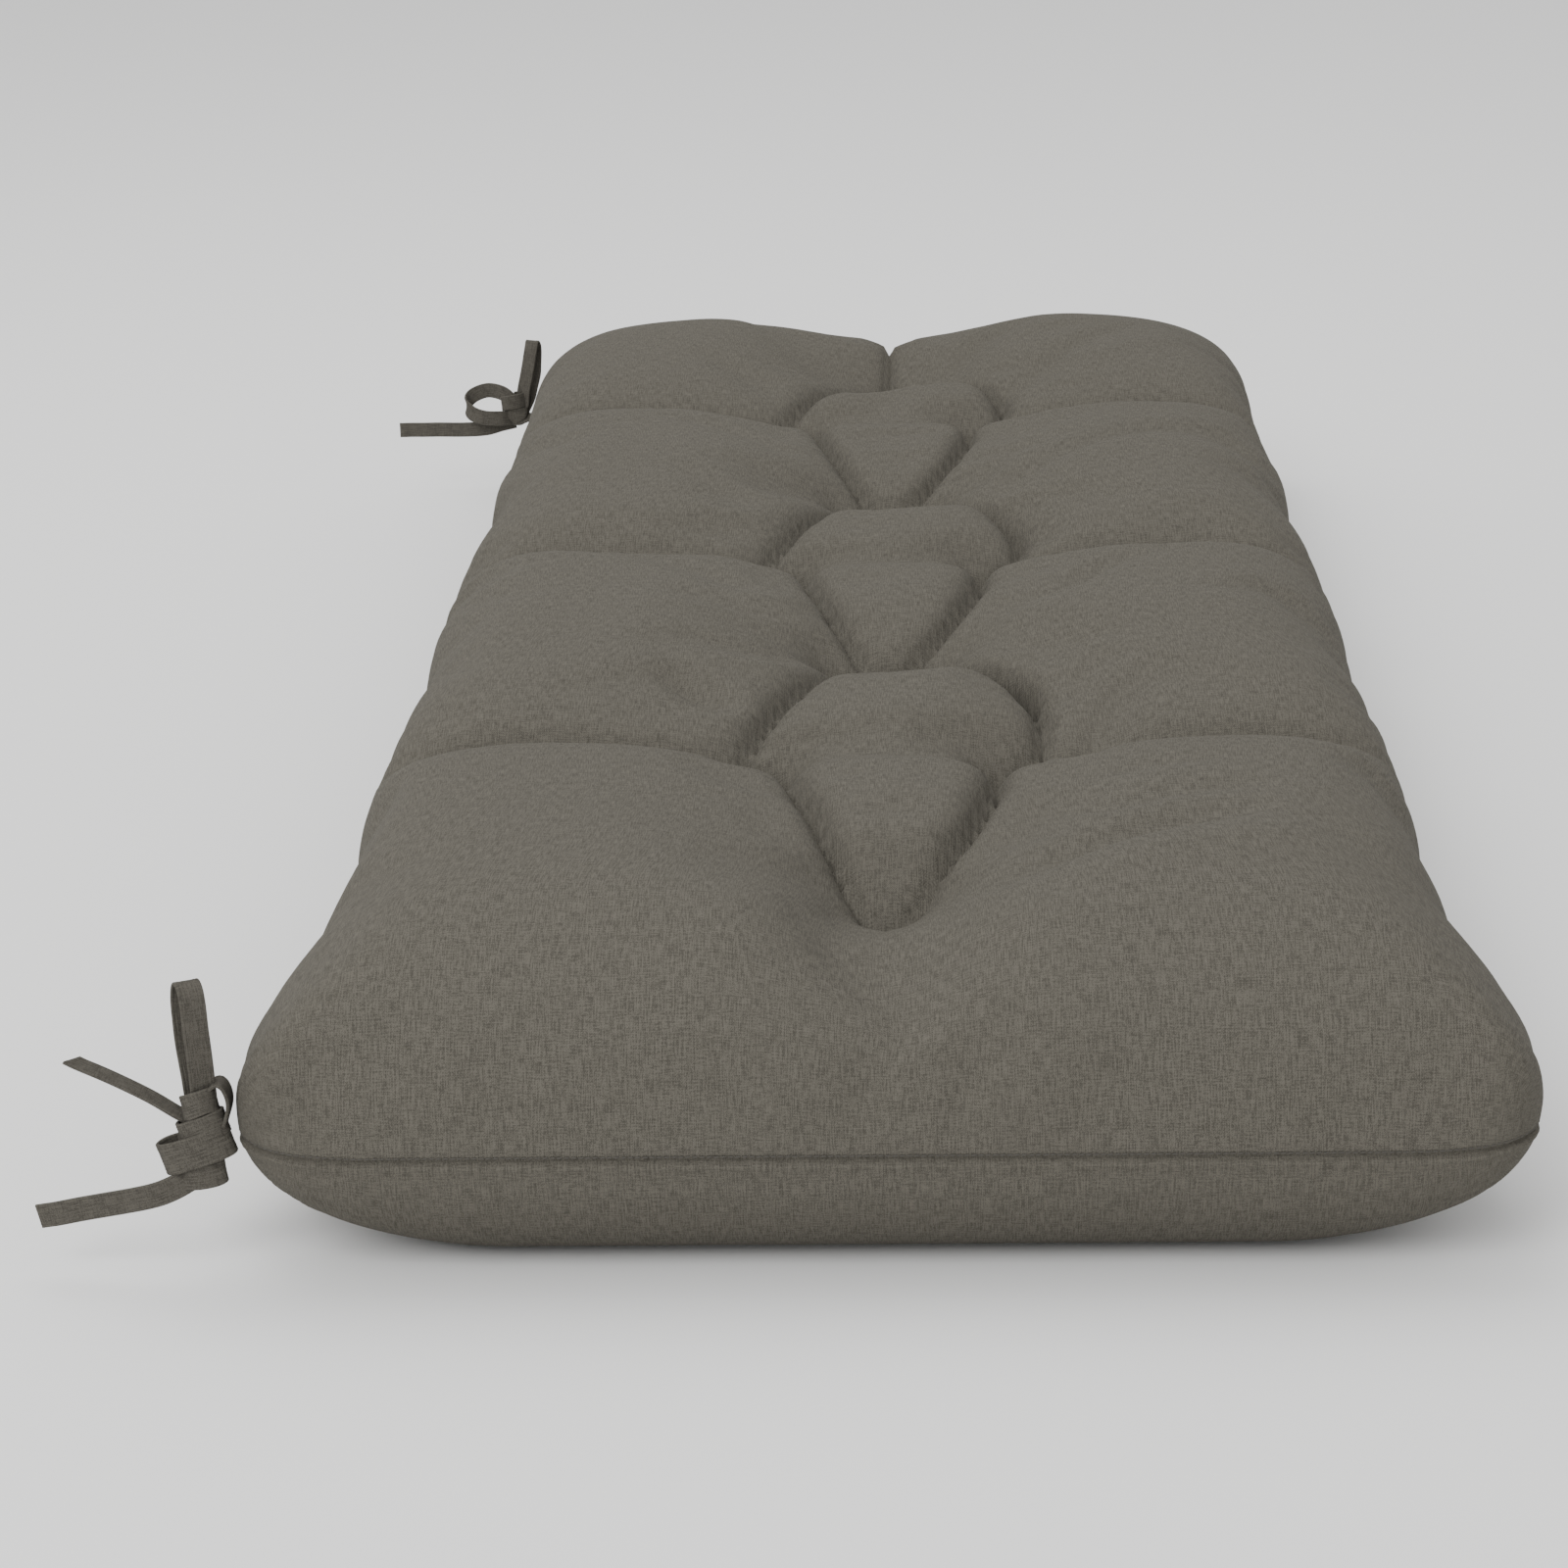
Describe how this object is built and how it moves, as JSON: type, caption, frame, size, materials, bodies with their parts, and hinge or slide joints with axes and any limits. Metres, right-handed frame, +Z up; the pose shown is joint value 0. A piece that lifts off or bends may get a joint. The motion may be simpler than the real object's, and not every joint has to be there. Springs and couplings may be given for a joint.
{
  "type": "tufted bench cushion with tie straps",
  "caption": "Long tufted bench cushion with a knife-edge seam and a knotted tie strap at each back corner.",
  "frame": {"origin": "centre of the flat underside, on the surface that the cushion lies on", "axes": "+X along the cushion, +Y towards the back edge that carries the ties, +Z up"},
  "size_m": [1.18, 0.5469, 0.127],
  "materials": {
    "cushion_cloth": "matt woven cloth, warm grey with fine slubs",
    "tie_strap": "matt woven strap, folded and edge-stitched"
  },
  "bodies": {
    "root": {"cushion": "cushion_cloth", "near_tie": "tie_strap", "far_tie": "tie_strap"}
  },
  "joints": []
}
